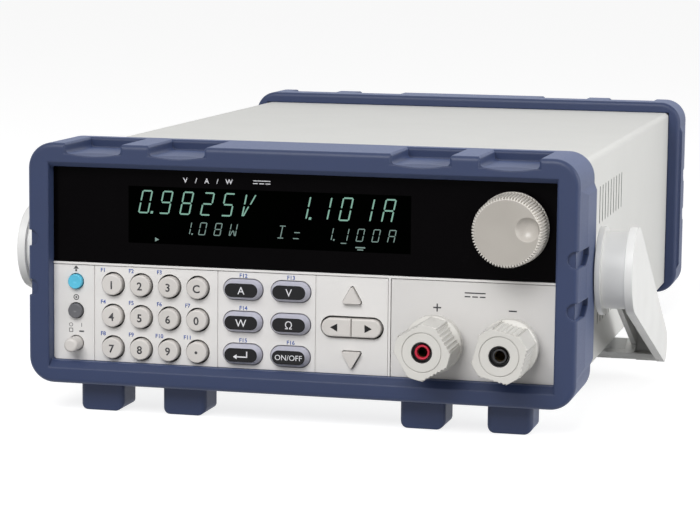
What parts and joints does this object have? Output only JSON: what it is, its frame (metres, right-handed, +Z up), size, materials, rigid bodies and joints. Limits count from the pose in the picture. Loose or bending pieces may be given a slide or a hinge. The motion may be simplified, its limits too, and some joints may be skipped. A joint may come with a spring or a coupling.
{
  "type": "dc electronic load",
  "caption": "Bench DC electronic load: half-rack metal case with blue elastomer bumpers, swing handle, display window, keypad, encoder knob and two front binding posts.",
  "frame": {"origin": "on the floor under the feet, below the middle of the bounding box", "axes": "+X to the right seen from the front, +Y from the front panel to the rear panel, +Z up"},
  "size_m": [0.2606, 0.389, 0.1112],
  "materials": {
    "painted_sheet": "fine textured powder coat",
    "zinc_steel": "zinc plated",
    "elastomer": "moulded matt slate blue",
    "handle_plastic": "moulded satin",
    "panel_plastic": "moulded matt",
    "window_acrylic": "smoked, polished",
    "display_glass": "vacuum fluorescent display glass",
    "circuit_board": "solder resist",
    "silicone": "moulded",
    "black_plastic": "moulded",
    "knob_plastic": "moulded satin",
    "post_plastic": "moulded satin",
    "stud_brass": "turned, nickel flash",
    "red_plastic": "moulded",
    "laminations": "varnished laminations and winding",
    "sink_aluminium": "extruded",
    "green_plastic": "moulded",
    "key_plastic": "moulded matt",
    "mode_key_plastic": "moulded with a black printed face",
    "cyan_key_plastic": "moulded",
    "grey_key_plastic": "moulded"
  },
  "bodies": {
    "case": {"cover": "painted_sheet", "rear_panel": "painted_sheet", "chassis": "zinc_steel", "case_screws": "zinc_steel", "pivot_screws": "zinc_steel", "encoder_body": "zinc_steel", "data_port": "zinc_steel", "front_bumper": "elastomer", "rear_bumper": "elastomer", "pivot_bosses": "handle_plastic", "front_frame": "panel_plastic", "keypad_plate": "panel_plastic", "terminal_plate": "panel_plastic", "display_window": "window_acrylic", "display_glass": "display_glass", "front_board": "circuit_board", "main_board": "circuit_board", "key_mat": "silicone", "power_switch": "black_plastic", "fan_housing": "black_plastic", "power_inlet": "black_plastic", "ring_negative": "black_plastic", "post_collars": "post_plastic", "post_studs": "stud_brass", "ring_positive": "red_plastic", "transformer": "laminations", "heat_sink": "sink_aluminium", "sense_terminals": "green_plastic"},
    "key_1": {"key_1": "key_plastic"},
    "key_2": {"key_2": "key_plastic"},
    "key_3": {"key_3": "key_plastic"},
    "key_esc": {"key_esc": "key_plastic"},
    "key_4": {"key_4": "key_plastic"},
    "key_5": {"key_5": "key_plastic"},
    "key_6": {"key_6": "key_plastic"},
    "key_0": {"key_0": "key_plastic"},
    "key_7": {"key_7": "key_plastic"},
    "key_8": {"key_8": "key_plastic"},
    "key_9": {"key_9": "key_plastic"},
    "key_dot": {"key_dot": "key_plastic"},
    "key_current": {"key_current": "mode_key_plastic"},
    "key_voltage": {"key_voltage": "mode_key_plastic"},
    "key_power": {"key_power": "mode_key_plastic"},
    "key_resistance": {"key_resistance": "mode_key_plastic"},
    "key_enter": {"key_enter": "mode_key_plastic"},
    "key_on_off": {"key_on_off": "mode_key_plastic"},
    "key_up": {"key_up": "key_plastic"},
    "key_down": {"key_down": "key_plastic"},
    "key_left": {"key_left": "key_plastic"},
    "key_right": {"key_right": "key_plastic"},
    "key_shift": {"key_shift": "cyan_key_plastic"},
    "key_local": {"key_local": "grey_key_plastic"},
    "power_button": {"power_button": "panel_plastic"},
    "knob": {"knob": "knob_plastic", "encoder_shaft": "zinc_steel"},
    "cap_positive": {"cap_positive": "post_plastic"},
    "cap_negative": {"cap_negative": "post_plastic"},
    "fan_rotor": {"fan_rotor": "black_plastic"},
    "handle": {"handle": "handle_plastic"}
  },
  "joints": [
    {"name": "key_1_press", "type": "slide", "parent": "case", "child": "key_1", "axis": [0, 1, 0], "range_m": [0, 0.0012], "stiffness_N_per_m": 800, "springref_m": -0.0006},
    {"name": "key_2_press", "type": "slide", "parent": "case", "child": "key_2", "axis": [0, 1, 0], "range_m": [0, 0.0012], "stiffness_N_per_m": 800, "springref_m": -0.0006},
    {"name": "key_3_press", "type": "slide", "parent": "case", "child": "key_3", "axis": [0, 1, 0], "range_m": [0, 0.0012], "stiffness_N_per_m": 800, "springref_m": -0.0006},
    {"name": "key_esc_press", "type": "slide", "parent": "case", "child": "key_esc", "axis": [0, 1, 0], "range_m": [0, 0.0012], "stiffness_N_per_m": 800, "springref_m": -0.0006},
    {"name": "key_4_press", "type": "slide", "parent": "case", "child": "key_4", "axis": [0, 1, 0], "range_m": [0, 0.0012], "stiffness_N_per_m": 800, "springref_m": -0.0006},
    {"name": "key_5_press", "type": "slide", "parent": "case", "child": "key_5", "axis": [0, 1, 0], "range_m": [0, 0.0012], "stiffness_N_per_m": 800, "springref_m": -0.0006},
    {"name": "key_6_press", "type": "slide", "parent": "case", "child": "key_6", "axis": [0, 1, 0], "range_m": [0, 0.0012], "stiffness_N_per_m": 800, "springref_m": -0.0006},
    {"name": "key_0_press", "type": "slide", "parent": "case", "child": "key_0", "axis": [0, 1, 0], "range_m": [0, 0.0012], "stiffness_N_per_m": 800, "springref_m": -0.0006},
    {"name": "key_7_press", "type": "slide", "parent": "case", "child": "key_7", "axis": [0, 1, 0], "range_m": [0, 0.0012], "stiffness_N_per_m": 800, "springref_m": -0.0006},
    {"name": "key_8_press", "type": "slide", "parent": "case", "child": "key_8", "axis": [0, 1, 0], "range_m": [0, 0.0012], "stiffness_N_per_m": 800, "springref_m": -0.0006},
    {"name": "key_9_press", "type": "slide", "parent": "case", "child": "key_9", "axis": [0, 1, 0], "range_m": [0, 0.0012], "stiffness_N_per_m": 800, "springref_m": -0.0006},
    {"name": "key_dot_press", "type": "slide", "parent": "case", "child": "key_dot", "axis": [0, 1, 0], "range_m": [0, 0.0012], "stiffness_N_per_m": 800, "springref_m": -0.0006},
    {"name": "key_current_press", "type": "slide", "parent": "case", "child": "key_current", "axis": [0, 1, 0], "range_m": [0, 0.0012], "stiffness_N_per_m": 800, "springref_m": -0.0006},
    {"name": "key_voltage_press", "type": "slide", "parent": "case", "child": "key_voltage", "axis": [0, 1, 0], "range_m": [0, 0.0012], "stiffness_N_per_m": 800, "springref_m": -0.0006},
    {"name": "key_power_press", "type": "slide", "parent": "case", "child": "key_power", "axis": [0, 1, 0], "range_m": [0, 0.0012], "stiffness_N_per_m": 800, "springref_m": -0.0006},
    {"name": "key_resistance_press", "type": "slide", "parent": "case", "child": "key_resistance", "axis": [0, 1, 0], "range_m": [0, 0.0012], "stiffness_N_per_m": 800, "springref_m": -0.0006},
    {"name": "key_enter_press", "type": "slide", "parent": "case", "child": "key_enter", "axis": [0, 1, 0], "range_m": [0, 0.0012], "stiffness_N_per_m": 800, "springref_m": -0.0006},
    {"name": "key_on_off_press", "type": "slide", "parent": "case", "child": "key_on_off", "axis": [0, 1, 0], "range_m": [0, 0.0012], "stiffness_N_per_m": 800, "springref_m": -0.0006},
    {"name": "key_up_press", "type": "slide", "parent": "case", "child": "key_up", "axis": [0, 1, 0], "range_m": [0, 0.0012], "stiffness_N_per_m": 800, "springref_m": -0.0006},
    {"name": "key_down_press", "type": "slide", "parent": "case", "child": "key_down", "axis": [0, 1, 0], "range_m": [0, 0.0012], "stiffness_N_per_m": 800, "springref_m": -0.0006},
    {"name": "key_left_press", "type": "slide", "parent": "case", "child": "key_left", "axis": [0, 1, 0], "range_m": [0, 0.0012], "stiffness_N_per_m": 800, "springref_m": -0.0006},
    {"name": "key_right_press", "type": "slide", "parent": "case", "child": "key_right", "axis": [0, 1, 0], "range_m": [0, 0.0012], "stiffness_N_per_m": 800, "springref_m": -0.0006},
    {"name": "key_shift_press", "type": "slide", "parent": "case", "child": "key_shift", "axis": [0, 1, 0], "range_m": [0, 0.0012], "stiffness_N_per_m": 800, "springref_m": -0.0006},
    {"name": "key_local_press", "type": "slide", "parent": "case", "child": "key_local", "axis": [0, 1, 0], "range_m": [0, 0.0012], "stiffness_N_per_m": 800, "springref_m": -0.0006},
    {"name": "power_button_press", "type": "slide", "parent": "case", "child": "power_button", "axis": [0, 1, 0], "range_m": [0, 0.0035], "stiffness_N_per_m": 600, "springref_m": -0.001},
    {"name": "knob_turn", "type": "hinge", "parent": "case", "child": "knob", "pos_m": [0.08651, -0.17405, 0.083], "axis": [0, -1, 0], "continuous": true},
    {"name": "cap_positive_turn", "type": "hinge", "parent": "case", "child": "cap_positive", "pos_m": [0.05651, -0.18205, 0.0366], "axis": [0, -1, 0], "range_deg": [0, 1080]},
    {"name": "cap_negative_turn", "type": "hinge", "parent": "case", "child": "cap_negative", "pos_m": [0.08691, -0.18205, 0.0366], "axis": [0, -1, 0], "range_deg": [0, 1080]},
    {"name": "fan_spin", "type": "hinge", "parent": "case", "child": "fan_rotor", "pos_m": [0.048, 0.17455, 0.0618], "axis": [0, 1, 0], "continuous": true},
    {"name": "handle_swing", "type": "hinge", "parent": "case", "child": "handle", "pos_m": [0, -0.12305, 0.0624], "axis": [1, 0, 0], "range_deg": [-305, 0]}
  ]
}
